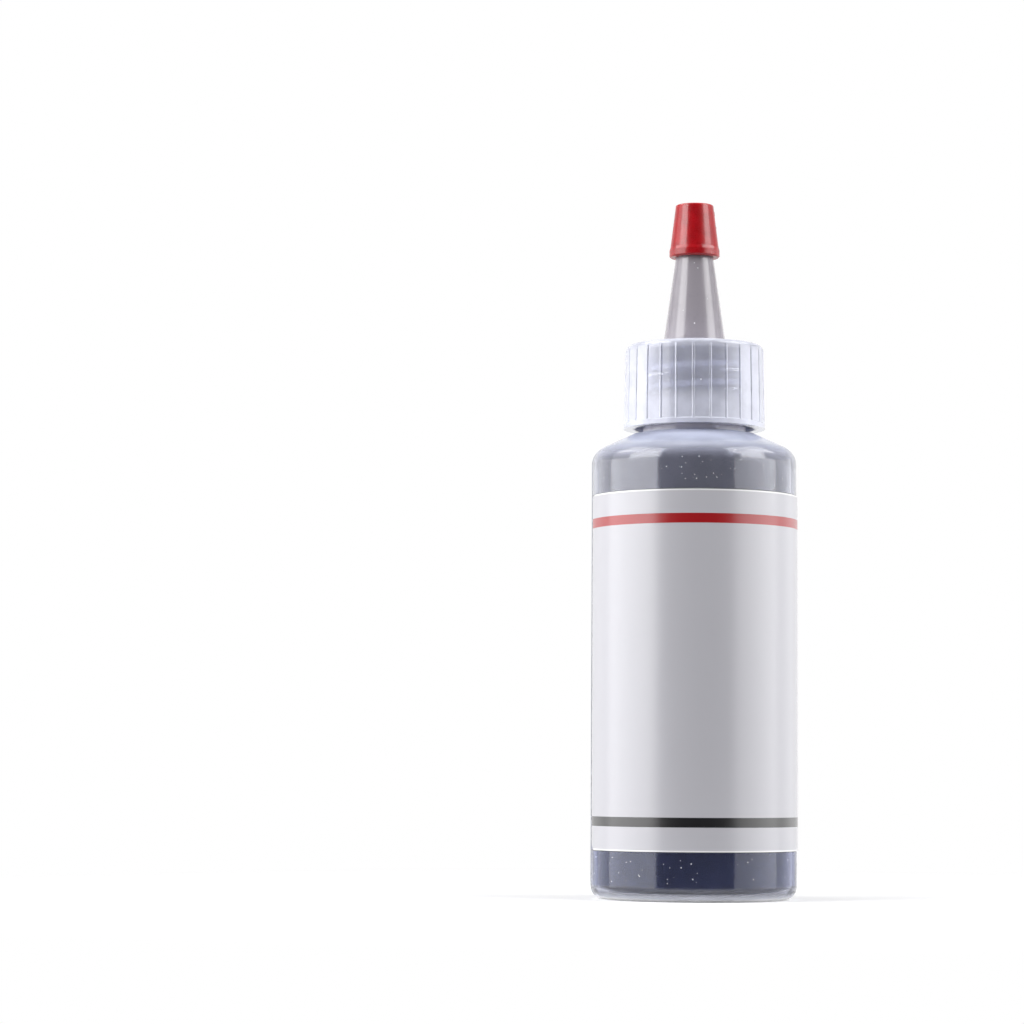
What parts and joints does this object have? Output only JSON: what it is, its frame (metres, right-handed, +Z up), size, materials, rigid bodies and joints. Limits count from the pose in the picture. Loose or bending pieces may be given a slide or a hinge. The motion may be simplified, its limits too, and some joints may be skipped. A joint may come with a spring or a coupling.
{
  "type": "graphite powder squeeze bottle",
  "caption": "Cylindrical squeeze bottle of graphite powder with a wrap label, a ribbed screw-on spout cap and a push-on tip cap.",
  "frame": {"origin": "centre of the standing ring, on the plane that the bottle stands on", "axes": "+Z up along the bottle's axis towards the tip cap, -Y the front of the label, +X to the right seen from the front"},
  "size_m": [0.0346, 0.0348, 0.1176],
  "materials": {
    "natural_ldpe": "satin",
    "label_film": "gloss",
    "graphite": "matte",
    "liner_foam": "matte",
    "cap_ldpe": "satin",
    "red_ldpe": "satin"
  },
  "bodies": {
    "bottle_body": {"bottle": "natural_ldpe", "label": "label_film", "graphite_powder": "graphite"},
    "liner_body": {"cap_liner": "liner_foam"},
    "cap_body": {"spout_cap": "cap_ldpe"},
    "tip_body": {"tip_cap": "red_ldpe"}
  },
  "joints": [
    {"name": "cap_lift", "type": "slide", "parent": "bottle_body", "child": "liner_body", "axis": [0, 0, 1], "range_m": [0, 0.0159]},
    {"name": "cap_turn", "type": "hinge", "parent": "liner_body", "child": "cap_body", "pos_m": [0, 0, 0.0863], "axis": [0, 0, 1], "range_deg": [0, 1800]},
    {"name": "tip_pull", "type": "slide", "parent": "cap_body", "child": "tip_body", "axis": [0, 0, 1], "range_m": [0, 0.012]}
  ],
  "couplings": [
    {"joint": "cap_lift", "follows": "cap_turn", "m_per_rad": 0.00050532}
  ]
}
